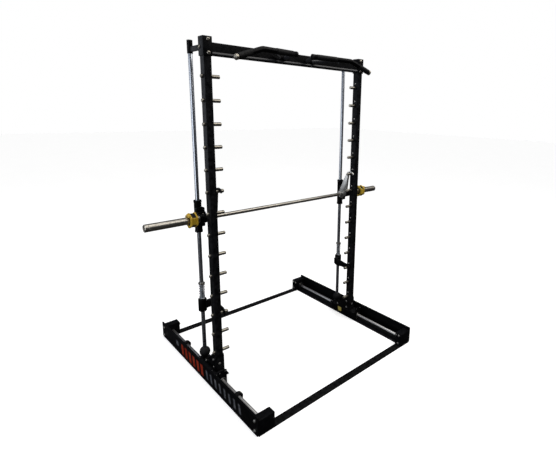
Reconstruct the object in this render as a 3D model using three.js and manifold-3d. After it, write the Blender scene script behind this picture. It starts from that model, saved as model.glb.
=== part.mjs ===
// Smith machine: a barbell on two vertical guide rods, in a frame that rolls fore and aft on floor shafts.
// Units are millimetres. X runs along the bar, +Y points away from the lifter's side, +Z is up.
// The origin is on the floor at the centre of the base.

import * as THREE from 'three';
import * as BufferGeometryUtils from 'three/addons/utils/BufferGeometryUtils.js';
import Module from 'manifold-3d';

const wasm = await Module();
wasm.setup();

// ---------- driving dimensions ----------

const GAP = 0.3;                 // clearance between pieces that touch
const OVERCUT = 1;               // how far a cutting shape runs past the piece it cuts
const RUNNING_GAP = 0.4;         // radial clearance of a bore round its shaft
const ROUND_SIDES = 24;          // sides of shafts and bores

const BASE_WIDTH = 1530;
const BASE_DEPTH = 1460;
const RAIL_WIDTH = 125;
const SIDE_PLATE_HEIGHT = 135;
const SIDE_PLATE_THICKNESS = 8;
const BOTTOM_PLATE_THICKNESS = 6;
const BOTTOM_PLATE_INNER = 660;  // the end blocks overhang the bottom plate on the inside
const END_BLOCK_HEIGHT = 112;
const END_BLOCK_DEPTH = 60;
const STRAP_WIDTH = 60;
const STRAP_THICKNESS = 6;

const SHAFT_RADIUS = 12.5;
const SHAFT_X = 700;
const SHAFT_Z = 50;
const SHAFT_INSET = 40;          // length of shaft held in each end block
const STOP_COLLAR_RADIUS = 31;
const STOP_COLLAR_LENGTH = 26;
const STOP_COLLAR_Y = { left: 398, right: 652 };

const UPRIGHT_X = 679;
const UPRIGHT_Y = -94;
const UPRIGHT_WIDTH = 50;
const UPRIGHT_DEPTH = 55;
const UPRIGHT_TOP = 2333;
const TUBE_WALL = 3;

const DECK_BOTTOM = 76;
const DECK_TOP = 86;
const CARRIAGE_FRONT = -183;
const CARRIAGE_REAR = 135;
const BEARING_WIDTH = 66;
const BEARING_BOTTOM = 16;
const BEARING_FLANGE_THICKNESS = 7;
const BEARING_FLANGE_TOP = 128;
const FOOT_PLATE_THICKNESS = 7;
const FOOT_PLATE_TOP = 208;
const FOOT_PLATE_HEEL = 20;        // height of the gussets' rear end above the deck

const BEAM_TOP = 2310;
const BEAM_HEIGHT = 75;
const BEAM_DEPTH = 50;
const CAP_TOP = 2342;
const CAP_BOTTOM = 2228;
const CAP_WALL = 5;

const PEG_COUNT = 14;
const PEG_PITCH = 145;
const PEG_TOP_Z = 2111;
const PEG_RADIUS = 12;
const PEG_REACH = 61;            // length of peg inside the inner face of the upright
const PEG_HEAD = 16;             // length of peg outside the outer face
const PEG_SIDES = 8;

const ROD_RADIUS = 14;
const ROD_X = 692;
const ROD_Y = 89;
const ROD_TOP = 2329;
const HOLDER_RADIUS = 18;
const HOLDER_BOTTOM = 2256;
const HOLDER_TOP = 2338;
const HOLDER_ARM_WIDTH = 16;
const HOLDER_ARM_Z = [2265, 2297];
const BUMPER_RADIUS = 39;
const BUMPER_Z = 141;
const BUMPER_NECK_RADIUS = 17;
const BUMPER_STEPS = 6;          // facets from the neck to the top of the ball

const BAR_RADIUS = 14;
const BAR_Y = 12;
const BAR_Z = 1189;
const BAR_HALF_LENGTH = 1080;
const SLEEVE_RADIUS = 25;
const SLEEVE_START = 724;
const SLEEVE_END_WALL = 28;
const SLIDER_RADIUS = 27;
const SLIDER_HALF_HEIGHT = 113;
const SLIDER_PAD_X = [662, 722];
const SLIDER_PAD_Y = [46, 72];
const SLIDER_PAD_HALF_HEIGHT = 67;
const BAR_BLOCK_X = [663, 720];
const BAR_BLOCK_RADIUS = 31;
const BAR_BLOCK_HALF_HEIGHT = 39;
const HOOK_X = [622, 634];
const HOOK_CLEARANCE = 0.8;      // between a hook's mouth and its peg
const HOOK_THICKNESS_OVER_PEG = 10.5;
const HOOK_TIP_TURN = 0.16;      // radians the tip reaches past its peg, about the bar
const HOOK_TIP_THICKNESS = 9;
const HOOK_FOOT = [[-15, -36], [31, -24], [31, 12]];  // y, z from the bar's axis, under the bar
const HOOK_SHOULDER = [[46, -12], [28, 15]];          // y, z from the peg, on the rising rear edge
const HOOK_CROWN_BEND = 18;      // how far behind the peg the crown starts to bend
const HOOK_THROAT_DROP = 24;     // below the peg, on the front edge
const HOOK_THROAT_FLARE = 2;
const HOOK_BELLY = [[-75, 48], [-62, 1]];             // y, z from the bar's axis, on the front edge
const HOOKED_PEG = 5;            // pegs counted down from the top one
const STOP_PEG = 11;

const LOCK_COLLAR_RADIUS = 54;
const LOCK_COLLAR_LENGTH = 50;
const LOCK_COLLAR_X = { left: 747, right: 848 };
const LATCH_THICKNESS = 10;
const LATCH_WIDTH = 16;
const LATCH_LENGTH = 46;
const LATCH_CLEARANCE = 2;       // between the turning latch and the sleeve

const STOP_BLOCK_RADIUS = 30;
const STOP_SLEEVE_RADIUS = 19;
const STOP_BLOCK_Z = [478, 568];
const SPRING_SEAT_RADIUS = 25;
const SPRING_SEAT_THICKNESS = 4;
const SPRING_RADII = [15.5, 21.5];
const SPRING_CAP_Z = [685, 693];
const SPRING_CAP_RADIUS = 24;
const STOP_ARM_X = [622, 634];
const STOP_LUG_Y = [44, 72];     // the lug that joins the block to the arm
const STOP_LUG_Z = [508, 562];
const STOP_ARM_NECK = [29, 498]; // y, z of the corner under the arm, in front of the rod
const STOP_CROWN = { rear: 20, front: 26, height: 34 };    // round the peg
const STOP_TIP = { front: 24, drop: 28, flare: 3 };
const STOP_THROAT = { rear: 44, high: 10, low: 22 };

const HANDLE_RADIUS = 18;
const HANDLE_SIDES = 16;
const HANDLE_LEG_SIDES = 12;
const HANDLE_INNER = { x: 70, y: -212, z: 2293 };
const HANDLE_BEND = { x: 395, y: -284, z: 2285 };
const HANDLE_TIP = { x: 592, y: -296, z: 2217 };
const HANDLE_STRUT_RADIUS = 14;
const HANDLE_STRUT_AT = 0.06;    // how far along the level grip the strut and the brace leave it
const HANDLE_BRACE_AT = 0.8;
const HANDLE_FOOT_X = [104, 122];
const HANDLE_FOOT_Z = 2266;

const FINISH = {
  blackSteel: { color: 0x14151a, roughness: 0.42, metalness: 0.2 },
  chrome: { color: 0xb9bec6, roughness: 0.12, metalness: 1.0 },
  zinc: { color: 0xa8a295, roughness: 0.35, metalness: 0.9 },
  rubber: { color: 0x0c0c0d, roughness: 0.85, metalness: 0.0 },
  yellow: { color: 0xc7a322, roughness: 0.45, metalness: 0.0 },
  spring: { color: 0x8d9496, roughness: 0.3, metalness: 0.9 },
};

// ---------- geometry helpers ----------

function box([x0, x1], [y0, y1], [z0, z1]) {
  const geometry = new THREE.BoxGeometry(Math.abs(x1 - x0), Math.abs(y1 - y0), Math.abs(z1 - z0));
  return geometry.translate((x0 + x1) / 2, (y0 + y1) / 2, (z0 + z1) / 2);
}

// A round bar between two points.
function bar(from, to, radius, sides = ROUND_SIDES) {
  const start = new THREE.Vector3(...from);
  const along = new THREE.Vector3(...to).sub(start);
  const direction = along.clone().normalize();
  const turn = new THREE.Quaternion().setFromUnitVectors(new THREE.Vector3(0, 1, 0), direction);
  const middle = start.addScaledVector(along, 0.5);
  return new THREE.CylinderGeometry(radius, radius, along.length(), sides)
    .applyQuaternion(turn)
    .translate(middle.x, middle.y, middle.z);
}

function uprightBar(x, y, [z0, z1], radius, sides = ROUND_SIDES) {
  return new THREE.CylinderGeometry(radius, radius, z1 - z0, sides)
    .rotateX(Math.PI / 2)
    .translate(x, y, (z0 + z1) / 2);
}

function levelBar([x0, x1], y, z, radius, sides = ROUND_SIDES) {
  return new THREE.CylinderGeometry(radius, radius, Math.abs(x1 - x0), sides)
    .rotateZ(Math.PI / 2)
    .translate((x0 + x1) / 2, y, z);
}

function shaftBar(x, [y0, y1], z, radius, sides = ROUND_SIDES) {
  return new THREE.CylinderGeometry(radius, radius, Math.abs(y1 - y0), sides)
    .translate(x, (y0 + y1) / 2, z);
}

// A flat plate: an outline in the YZ plane given thickness along X.
function plate(outline, [x0, x1]) {
  const low = Math.min(x0, x1);
  const depth = Math.abs(x1 - x0);
  const geometry = new THREE.ExtrudeGeometry(outline, { depth, bevelEnabled: false, curveSegments: 6 });
  const shapeToFrame = new THREE.Matrix4().set(0, 0, 1, low, 1, 0, 0, 0, 0, 1, 0, 0, 0, 0, 0, 1);
  return geometry.applyMatrix4(shapeToFrame);
}

function outlineOf(points) {
  return new THREE.Shape(points.map(([y, z]) => new THREE.Vector2(y, z)));
}

// Outline points given as offsets from a centre.
function pointsFrom([centreY, centreZ]) {
  return (offsets) => offsets.map(([y, z]) => new THREE.Vector2(centreY + y, centreZ + z));
}

function toSolid(geometry) {
  const bare = geometry.clone();
  bare.deleteAttribute('normal');
  bare.deleteAttribute('uv');
  const merged = BufferGeometryUtils.mergeVertices(bare, 1e-4);
  const vertProperties = new Float32Array(merged.attributes.position.array);
  const triVerts = new Uint32Array(merged.index.array);
  return new wasm.Manifold(new wasm.Mesh({ numProp: 3, vertProperties, triVerts }));
}

function toGeometry(solid) {
  const mesh = solid.getMesh();
  const geometry = new THREE.BufferGeometry();
  geometry.setAttribute('position', new THREE.BufferAttribute(mesh.vertProperties, 3));
  geometry.setIndex(new THREE.BufferAttribute(mesh.triVerts, 1));
  geometry.computeVertexNormals();
  return geometry;
}

function join(...geometries) {
  return toGeometry(geometries.map(toSolid).reduce((sum, next) => sum.add(next)));
}

function cut(body, ...tools) {
  return toGeometry(tools.map(toSolid).reduce((rest, tool) => rest.subtract(tool), toSolid(body)));
}

// ---------- scene helpers ----------

const SIDES = [['left', -1], ['right', 1]];
const ENDS = [['front', -1], ['rear', 1]];

function add(group, name, geometry, finish) {
  const mesh = new THREE.Mesh(geometry, new THREE.MeshStandardMaterial(FINISH[finish]));
  mesh.name = name;
  group.add(mesh);
}

// Both limits of a span on the positive side, carried to the chosen side.
function onSide(side, [inner, outer]) {
  return [side * inner, side * outer];
}

function pegHeight(index) {
  return PEG_TOP_Z - index * PEG_PITCH;
}

// ---------- base ----------

const railInner = BASE_WIDTH / 2 - RAIL_WIDTH;
const sidePlateInner = BASE_WIDTH / 2 - SIDE_PLATE_THICKNESS;
const halfDepth = BASE_DEPTH / 2;
const blockFace = halfDepth - END_BLOCK_DEPTH;

function endBlock(side, end) {
  const block = box(
    onSide(side, [railInner, sidePlateInner - GAP]),
    [end * blockFace, end * halfDepth],
    [BOTTOM_PLATE_THICKNESS + GAP, END_BLOCK_HEIGHT],
  );
  const boreY = [end * (blockFace - OVERCUT), end * (blockFace + SHAFT_INSET + GAP)];
  return cut(block, shaftBar(side * SHAFT_X, boreY, SHAFT_Z, SHAFT_RADIUS + RUNNING_GAP));
}

function stopCollar(side, y) {
  const halfLength = STOP_COLLAR_LENGTH / 2;
  const ring = shaftBar(side * SHAFT_X, [y - halfLength, y + halfLength], SHAFT_Z, STOP_COLLAR_RADIUS);
  const boreY = [y - halfLength - OVERCUT, y + halfLength + OVERCUT];
  return cut(ring, shaftBar(side * SHAFT_X, boreY, SHAFT_Z, SHAFT_RADIUS + RUNNING_GAP));
}

function buildBase() {
  const base = new THREE.Group();
  for (const [sideName, side] of SIDES) {
    const sidePlateX = onSide(side, [sidePlateInner, BASE_WIDTH / 2]);
    const bottomPlateX = onSide(side, [BOTTOM_PLATE_INNER, sidePlateInner - GAP]);
    add(base, `side_plate_${sideName}`,
      box(sidePlateX, [-halfDepth, halfDepth], [0, SIDE_PLATE_HEIGHT]), 'blackSteel');
    add(base, `bottom_plate_${sideName}`,
      box(bottomPlateX, [-halfDepth, halfDepth], [0, BOTTOM_PLATE_THICKNESS]), 'blackSteel');
    const shaftEnd = blockFace + SHAFT_INSET;
    add(base, `carriage_shaft_${sideName}`,
      shaftBar(side * SHAFT_X, [-shaftEnd, shaftEnd], SHAFT_Z, SHAFT_RADIUS), 'chrome');
    for (const [endName, end] of ENDS) {
      add(base, `end_block_${endName}_${sideName}`, endBlock(side, end), 'blackSteel');
      add(base, `stop_collar_${endName}_${sideName}`,
        stopCollar(side, end * STOP_COLLAR_Y[sideName]), 'rubber');
    }
  }
  for (const [endName, end] of ENDS) {
    const strapY = [end * (halfDepth - STRAP_WIDTH), end * halfDepth];
    const strapReach = BOTTOM_PLATE_INNER - GAP;
    add(base, `cross_strap_${endName}`,
      box([-strapReach, strapReach], strapY, [0, STRAP_THICKNESS]), 'blackSteel');
  }
  return base;
}

// ---------- carriage: the frame that rolls on the shafts ----------

const uprightInner = UPRIGHT_X - UPRIGHT_WIDTH / 2;
const uprightOuter = UPRIGHT_X + UPRIGHT_WIDTH / 2;
const uprightFront = UPRIGHT_Y - UPRIGHT_DEPTH / 2;
const uprightRear = UPRIGHT_Y + UPRIGHT_DEPTH / 2;
const uprightBottom = DECK_TOP + GAP;

const bearingX = [SHAFT_X - BEARING_WIDTH / 2, SHAFT_X + BEARING_WIDTH / 2];

function aroundShaft(side, solid, [y0, y1]) {
  const boreY = [y0 - OVERCUT, y1 + OVERCUT];
  return cut(solid, shaftBar(side * SHAFT_X, boreY, SHAFT_Z, SHAFT_RADIUS + RUNNING_GAP));
}

// The long housing that holds the linear bearings under the deck.
function bearingHousing(side) {
  const spanY = [CARRIAGE_FRONT, CARRIAGE_REAR];
  return aroundShaft(side, box(onSide(side, bearingX), spanY, [BEARING_BOTTOM, DECK_BOTTOM - GAP]), spanY);
}

// The plate that closes the front of the housing and stands a little above the deck.
function bearingFlange(side) {
  const spanY = [CARRIAGE_FRONT - BEARING_FLANGE_THICKNESS, CARRIAGE_FRONT - GAP];
  return aroundShaft(side, box(onSide(side, bearingX), spanY, [BEARING_BOTTOM, BEARING_FLANGE_TOP]), spanY);
}

function gussetOutline() {
  return outlineOf([
    [uprightFront, DECK_TOP + GAP],
    [ROD_Y - BUMPER_RADIUS, DECK_TOP + GAP],
    [ROD_Y - BUMPER_RADIUS, DECK_TOP + FOOT_PLATE_HEEL],
    [uprightRear + UPRIGHT_DEPTH, (DECK_TOP + FOOT_PLATE_TOP) / 2],
    [uprightRear, FOOT_PLATE_TOP],
    [uprightFront, FOOT_PLATE_TOP],
  ]);
}

// A square tube crossed by its racking pegs.
function upright(side) {
  const outerX = onSide(side, [uprightInner, uprightOuter]);
  const tube = cut(
    box(outerX, [uprightFront, uprightRear], [uprightBottom, UPRIGHT_TOP]),
    box(
      onSide(side, [uprightInner + TUBE_WALL, uprightOuter - TUBE_WALL]),
      [uprightFront + TUBE_WALL, uprightRear - TUBE_WALL],
      [uprightBottom - OVERCUT, UPRIGHT_TOP + OVERCUT],
    ),
  );
  const pegX = onSide(side, [uprightInner - PEG_REACH, uprightOuter + PEG_HEAD]);
  const pegs = Array.from({ length: PEG_COUNT }, (_, index) =>
    levelBar(pegX, UPRIGHT_Y, pegHeight(index), PEG_RADIUS, PEG_SIDES));
  return join(tube, ...pegs);
}

// A cap over the top of the upright; the beam's end butts against its inner face.
function topCap(side) {
  const outside = box(
    onSide(side, [uprightInner - GAP - CAP_WALL, uprightOuter + GAP + CAP_WALL]),
    [uprightFront - GAP - CAP_WALL, uprightRear + GAP + CAP_WALL],
    [CAP_BOTTOM, CAP_TOP],
  );
  const pocket = box(
    onSide(side, [uprightInner - GAP, uprightOuter + GAP]),
    [uprightFront - GAP, uprightRear + GAP],
    [CAP_BOTTOM - OVERCUT, UPRIGHT_TOP + GAP],
  );
  return cut(outside, pocket);
}

function topBeam() {
  const halfLength = uprightInner - 2 * GAP - CAP_WALL;
  const beamY = [UPRIGHT_Y - BEAM_DEPTH / 2, UPRIGHT_Y + BEAM_DEPTH / 2];
  return cut(
    box([-halfLength, halfLength], beamY, [BEAM_TOP - BEAM_HEIGHT, BEAM_TOP]),
    box(
      [-halfLength - OVERCUT, halfLength + OVERCUT],
      [beamY[0] + TUBE_WALL, beamY[1] - TUBE_WALL],
      [BEAM_TOP - BEAM_HEIGHT + TUBE_WALL, BEAM_TOP - TUBE_WALL],
    ),
  );
}

// A pull-up handle: a grip in front of the beam, an angled outer grip, a strut and a brace.
function pullUpHandle(side) {
  const point = ({ x, y, z }) => new THREE.Vector3(side * x, y, z);
  const inner = point(HANDLE_INNER);
  const bend = point(HANDLE_BEND);
  const legs = [HANDLE_STRUT_AT, HANDLE_BRACE_AT].map((along, index) => {
    const top = inner.clone().lerp(bend, along);
    const foot = [side * HANDLE_FOOT_X[index], UPRIGHT_Y, HANDLE_FOOT_Z];
    return bar(top.toArray(), foot, HANDLE_STRUT_RADIUS, HANDLE_LEG_SIDES);
  });
  const elbow = new THREE.SphereGeometry(HANDLE_RADIUS, HANDLE_LEG_SIDES, HANDLE_LEG_SIDES / 2);
  const solid = join(
    bar(inner.toArray(), bend.toArray(), HANDLE_RADIUS, HANDLE_SIDES),
    bar(bend.toArray(), point(HANDLE_TIP).toArray(), HANDLE_RADIUS, HANDLE_SIDES),
    elbow.translate(...bend.toArray()),
    ...legs,
  );
  const beamFront = UPRIGHT_Y - BEAM_DEPTH / 2 - GAP;
  const beamZ = [BEAM_TOP - 2 * BEAM_HEIGHT, BEAM_TOP + BEAM_HEIGHT];
  return cut(solid, box([-BASE_WIDTH, BASE_WIDTH], [beamFront, 0], beamZ));
}

// The holder over the top of a guide rod, with its arm to the cap on the upright.
function rodTopHolder(side) {
  const armY = [uprightRear + 2 * GAP + CAP_WALL, ROD_Y];
  const armX = [ROD_X - HOLDER_ARM_WIDTH / 2, ROD_X + HOLDER_ARM_WIDTH / 2];
  const solid = join(
    uprightBar(side * ROD_X, ROD_Y, [HOLDER_BOTTOM, HOLDER_TOP], HOLDER_RADIUS),
    box(onSide(side, armX), armY, HOLDER_ARM_Z),
  );
  const boreZ = [HOLDER_BOTTOM - OVERCUT, ROD_TOP + GAP];
  return cut(solid, uprightBar(side * ROD_X, ROD_Y, boreZ, ROD_RADIUS + RUNNING_GAP));
}

// A round rubber bumper on a short neck, threaded on the foot of the guide rod.
function bumper(side) {
  const bore = ROD_RADIUS + RUNNING_GAP;
  const foot = DECK_TOP + GAP;
  const profile = [new THREE.Vector2(bore, foot), new THREE.Vector2(BUMPER_NECK_RADIUS, foot)];
  const lowest = Math.asin(BUMPER_NECK_RADIUS / BUMPER_RADIUS);
  const highest = Math.PI - Math.asin(bore / BUMPER_RADIUS);
  for (let step = 0; step <= BUMPER_STEPS; step += 1) {
    const angle = lowest + (highest - lowest) * step / BUMPER_STEPS;
    profile.push(new THREE.Vector2(
      BUMPER_RADIUS * Math.sin(angle),
      BUMPER_Z - BUMPER_RADIUS * Math.cos(angle),
    ));
  }
  profile.push(profile[0].clone());
  return new THREE.LatheGeometry(profile, ROUND_SIDES)
    .rotateX(Math.PI / 2)
    .translate(side * ROD_X, ROD_Y, 0);
}

function buildCarriage() {
  const carriage = new THREE.Group();
  for (const [sideName, side] of SIDES) {
    add(carriage, `shaft_bearing_${sideName}`, bearingHousing(side), 'blackSteel');
    add(carriage, `bearing_flange_${sideName}`, bearingFlange(side), 'blackSteel');
    const deckX = onSide(side, [uprightInner - FOOT_PLATE_THICKNESS, bearingX[1]]);
    add(carriage, `foot_deck_${sideName}`,
      box(deckX, [CARRIAGE_FRONT, CARRIAGE_REAR], [DECK_BOTTOM, DECK_TOP]), 'blackSteel');
    const innerGussetX = onSide(side, [uprightInner - FOOT_PLATE_THICKNESS, uprightInner - GAP]);
    const outerGussetX = onSide(side, [uprightOuter + GAP, uprightOuter + FOOT_PLATE_THICKNESS]);
    add(carriage, `foot_gusset_inner_${sideName}`, plate(gussetOutline(), innerGussetX), 'blackSteel');
    add(carriage, `foot_gusset_outer_${sideName}`, plate(gussetOutline(), outerGussetX), 'blackSteel');
    add(carriage, `upright_${sideName}`, upright(side), 'blackSteel');
    add(carriage, `top_cap_${sideName}`, topCap(side), 'blackSteel');
    add(carriage, `pull_up_handle_${sideName}`, pullUpHandle(side), 'blackSteel');
    add(carriage, `guide_rod_${sideName}`,
      uprightBar(side * ROD_X, ROD_Y, [DECK_TOP + GAP, ROD_TOP], ROD_RADIUS), 'chrome');
    add(carriage, `rod_top_holder_${sideName}`, rodTopHolder(side), 'blackSteel');
    add(carriage, `rod_bumper_${sideName}`, bumper(side), 'rubber');
  }
  add(carriage, 'top_beam', topBeam(), 'blackSteel');
  return carriage;
}

// ---------- bar lift: the sliders on the guide rods ----------

function aroundRod(side, solid, [z0, z1]) {
  const boreZ = [z0 - OVERCUT, z1 + OVERCUT];
  return cut(solid, uprightBar(side * ROD_X, ROD_Y, boreZ, ROD_RADIUS + RUNNING_GAP));
}

function sliderHousing(side) {
  const tubeZ = [BAR_Z - SLIDER_HALF_HEIGHT, BAR_Z + SLIDER_HALF_HEIGHT];
  const solid = join(
    uprightBar(side * ROD_X, ROD_Y, tubeZ, SLIDER_RADIUS),
    box(
      onSide(side, SLIDER_PAD_X),
      SLIDER_PAD_Y,
      [BAR_Z - SLIDER_PAD_HALF_HEIGHT, BAR_Z + SLIDER_PAD_HALF_HEIGHT],
    ),
  );
  return aroundRod(side, solid, tubeZ);
}

function barBearingBlock(side) {
  const spanX = onSide(side, BAR_BLOCK_X);
  const solid = join(
    levelBar(spanX, BAR_Y, BAR_Z, BAR_BLOCK_RADIUS),
    box(
      spanX,
      [BAR_Y, SLIDER_PAD_Y[0] - GAP],
      [BAR_Z - BAR_BLOCK_HALF_HEIGHT, BAR_Z + BAR_BLOCK_HALF_HEIGHT],
    ),
  );
  const boreX = onSide(side, [BAR_BLOCK_X[0] - OVERCUT, BAR_BLOCK_X[1] + OVERCUT]);
  return cut(solid, levelBar(boreX, BAR_Y, BAR_Z, BAR_RADIUS + RUNNING_GAP));
}

function buildLift() {
  const lift = new THREE.Group();
  for (const [sideName, side] of SIDES) {
    add(lift, `slider_housing_${sideName}`, sliderHousing(side), 'blackSteel');
    add(lift, `bar_bearing_${sideName}`, barBearingBlock(side), 'blackSteel');
  }
  return lift;
}

// ---------- bar ----------

function weightSleeve(side) {
  const sleeve = levelBar(onSide(side, [SLEEVE_START, BAR_HALF_LENGTH]), BAR_Y, BAR_Z, SLEEVE_RADIUS);
  const boreX = onSide(side, [SLEEVE_START - OVERCUT, BAR_HALF_LENGTH - SLEEVE_END_WALL]);
  return cut(sleeve, levelBar(boreX, BAR_Y, BAR_Z, BAR_RADIUS + RUNNING_GAP));
}

// A tapering plate that rises from the bar and curls over a peg.
// Past the peg the inside of the curl is round the bar's axis, so the hook can swing clear.
function rackingHook(side) {
  const peg = [UPRIGHT_Y, pegHeight(HOOKED_PEG)];
  const toPeg = [peg[0] - BAR_Y, peg[1] - BAR_Z];
  const pegAngle = Math.atan2(toPeg[1], toPeg[0]);
  const tipAngle = pegAngle + HOOK_TIP_TURN;
  const mouth = PEG_RADIUS + HOOK_CLEARANCE;
  const over = mouth + HOOK_THICKNESS_OVER_PEG;
  const innerRadius = Math.hypot(...toPeg) + mouth;
  const tipRadius = innerRadius + HOOK_TIP_THICKNESS;
  const tip = [BAR_Y + tipRadius * Math.cos(tipAngle), BAR_Z + tipRadius * Math.sin(tipAngle)];
  const fromBar = pointsFrom([BAR_Y, BAR_Z]);
  const fromPeg = pointsFrom(peg);
  const outline = new THREE.Shape([...fromBar(HOOK_FOOT), ...fromPeg(HOOK_SHOULDER)]);
  outline.quadraticCurveTo(peg[0] + HOOK_CROWN_BEND, peg[1] + over, peg[0], peg[1] + over);
  outline.quadraticCurveTo((peg[0] + tip[0]) / 2 - over / 2, peg[1] + over, tip[0], tip[1]);
  outline.absarc(BAR_Y, BAR_Z, innerRadius, tipAngle, pegAngle, true);
  outline.absarc(peg[0], peg[1], mouth, pegAngle, 0, true);
  outline.lineTo(peg[0] + mouth + HOOK_THROAT_FLARE, peg[1] - HOOK_THROAT_DROP);
  fromBar(HOOK_BELLY).forEach((point) => outline.lineTo(point.x, point.y));
  const blank = plate(outline, onSide(side, HOOK_X));
  const boreX = onSide(side, [HOOK_X[0] - OVERCUT, HOOK_X[1] + OVERCUT]);
  return cut(blank, levelBar(boreX, BAR_Y, BAR_Z, BAR_RADIUS + RUNNING_GAP));
}

function buildBar() {
  const lever = new THREE.Group();
  const shaftEnd = BAR_HALF_LENGTH - SLEEVE_END_WALL - GAP;
  add(lever, 'bar_shaft', levelBar([-shaftEnd, shaftEnd], BAR_Y, BAR_Z, BAR_RADIUS), 'chrome');
  for (const [sideName, side] of SIDES) {
    add(lever, `weight_sleeve_${sideName}`, weightSleeve(side), 'chrome');
    add(lever, `racking_hook_${sideName}`, rackingHook(side), side < 0 ? 'blackSteel' : 'zinc');
  }
  return lever;
}

// ---------- barbell collars ----------

function lockCollar(side, start) {
  const spanX = onSide(side, [start, start + LOCK_COLLAR_LENGTH]);
  const ring = levelBar(spanX, BAR_Y, BAR_Z, LOCK_COLLAR_RADIUS, 6);
  const boreX = onSide(side, [start - OVERCUT, start + LOCK_COLLAR_LENGTH + OVERCUT]);
  return cut(ring, levelBar(boreX, BAR_Y, BAR_Z, SLEEVE_RADIUS + RUNNING_GAP));
}

// A small lever on the outer face of the collar, rounded about its pivot.
function collarLatch(side, start) {
  const face = start + LOCK_COLLAR_LENGTH + GAP;
  const halfWidth = LATCH_WIDTH / 2;
  const pivot = [BAR_Y, BAR_Z + SLEEVE_RADIUS + halfWidth + LATCH_CLEARANCE];
  const tipY = BAR_Y + halfWidth - LATCH_LENGTH;
  const outline = new THREE.Shape();
  outline.absarc(pivot[0], pivot[1], halfWidth, -Math.PI / 2, Math.PI / 2, false);
  outline.lineTo(tipY, pivot[1] + halfWidth);
  outline.lineTo(tipY, pivot[1] - halfWidth);
  return plate(outline, onSide(side, [face, face + LATCH_THICKNESS]));
}

function buildLockCollars() {
  const collars = new THREE.Group();
  for (const [sideName, side] of SIDES) {
    const start = LOCK_COLLAR_X[sideName];
    add(collars, `lock_collar_${sideName}`, lockCollar(side, start), 'yellow');
    add(collars, `collar_latch_${sideName}`, collarLatch(side, start), 'yellow');
  }
  return collars;
}

// ---------- safety stops ----------

const [stopBottom, stopTop] = STOP_BLOCK_Z;

// The sleeve that slides on the rod, with a seat for the spring on top and a lip under the block.
function stopSleeve(side) {
  const seat = [stopTop + GAP, stopTop + GAP + SPRING_SEAT_THICKNESS];
  const lip = [stopBottom - GAP - SPRING_SEAT_THICKNESS, stopBottom - GAP];
  const solid = join(
    uprightBar(side * ROD_X, ROD_Y, [lip[0], seat[1]], STOP_SLEEVE_RADIUS),
    uprightBar(side * ROD_X, ROD_Y, seat, SPRING_SEAT_RADIUS),
    uprightBar(side * ROD_X, ROD_Y, lip, SPRING_SEAT_RADIUS),
  );
  return aroundRod(side, solid, [lip[0], seat[1]]);
}

function stopHookOutline() {
  const peg = [UPRIGHT_Y, pegHeight(STOP_PEG)];
  const mouth = PEG_RADIUS + HOOK_CLEARANCE;
  const outline = new THREE.Shape();
  const crownTop = peg[1] + STOP_CROWN.height;
  const crownFront = peg[0] - STOP_CROWN.front;
  outline.moveTo(STOP_LUG_Y[1], STOP_LUG_Z[0]);
  outline.lineTo(STOP_LUG_Y[1], STOP_LUG_Z[1]);
  outline.lineTo(STOP_ARM_NECK[0], STOP_LUG_Z[1]);
  outline.lineTo(peg[0] + STOP_CROWN.rear, crownTop);
  outline.quadraticCurveTo(crownFront, crownTop, crownFront, peg[1]);
  outline.lineTo(peg[0] - STOP_TIP.front, peg[1] - STOP_TIP.drop);
  outline.lineTo(peg[0] - mouth - STOP_TIP.flare, peg[1] - STOP_TIP.drop);
  outline.lineTo(peg[0] - mouth, peg[1]);
  outline.absarc(peg[0], peg[1], mouth, Math.PI, 0, true);
  outline.lineTo(peg[0] + mouth + STOP_TIP.flare, peg[1] - STOP_THROAT.low);
  outline.lineTo(peg[0] + STOP_THROAT.rear, peg[1] - STOP_THROAT.high);
  outline.lineTo(...STOP_ARM_NECK);
  return outline;
}

// The block that turns on the sleeve, with its lug and the hooked arm.
function stopArm(side) {
  const lugX = onSide(side, [STOP_ARM_X[0], ROD_X]);
  const solid = join(
    uprightBar(side * ROD_X, ROD_Y, STOP_BLOCK_Z, STOP_BLOCK_RADIUS),
    box(lugX, STOP_LUG_Y, STOP_LUG_Z),
    plate(stopHookOutline(), onSide(side, STOP_ARM_X)),
  );
  const boreZ = [stopBottom - OVERCUT, stopTop + OVERCUT];
  return cut(solid, uprightBar(side * ROD_X, ROD_Y, boreZ, STOP_SLEEVE_RADIUS + RUNNING_GAP));
}

function buildStops() {
  const stops = new THREE.Group();
  const springBottom = stopTop + 2 * GAP + SPRING_SEAT_THICKNESS;
  for (const [sideName, side] of SIDES) {
    add(stops, `stop_sleeve_${sideName}`, stopSleeve(side), 'rubber');
    add(stops, `stop_arm_${sideName}`, stopArm(side), 'blackSteel');
    const springZ = [springBottom, SPRING_CAP_Z[0] - GAP];
    add(stops, `buffer_spring_${sideName}`,
      cut(
        uprightBar(side * ROD_X, ROD_Y, springZ, SPRING_RADII[1]),
        uprightBar(side * ROD_X, ROD_Y, [springZ[0] - OVERCUT, springZ[1] + OVERCUT], SPRING_RADII[0]),
      ), 'spring');
    const cap = uprightBar(side * ROD_X, ROD_Y, SPRING_CAP_Z, SPRING_CAP_RADIUS);
    add(stops, `spring_cap_${sideName}`, aroundRod(side, cap, SPRING_CAP_Z), 'zinc');
  }
  return stops;
}

// ---------- assembly ----------

const machine = new THREE.Group();
machine.add(buildBase(), buildCarriage(), buildLift(), buildBar(), buildLockCollars(), buildStops());

export default machine;
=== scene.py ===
"""Looks of a smith machine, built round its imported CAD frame.

Metres. X runs along the bar, +Y from the pull-up handles to the guide rods, +Z up, floor at Z = 0.
"""

import math

import bmesh
import bpy
from mathutils import Matrix, Vector


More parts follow.
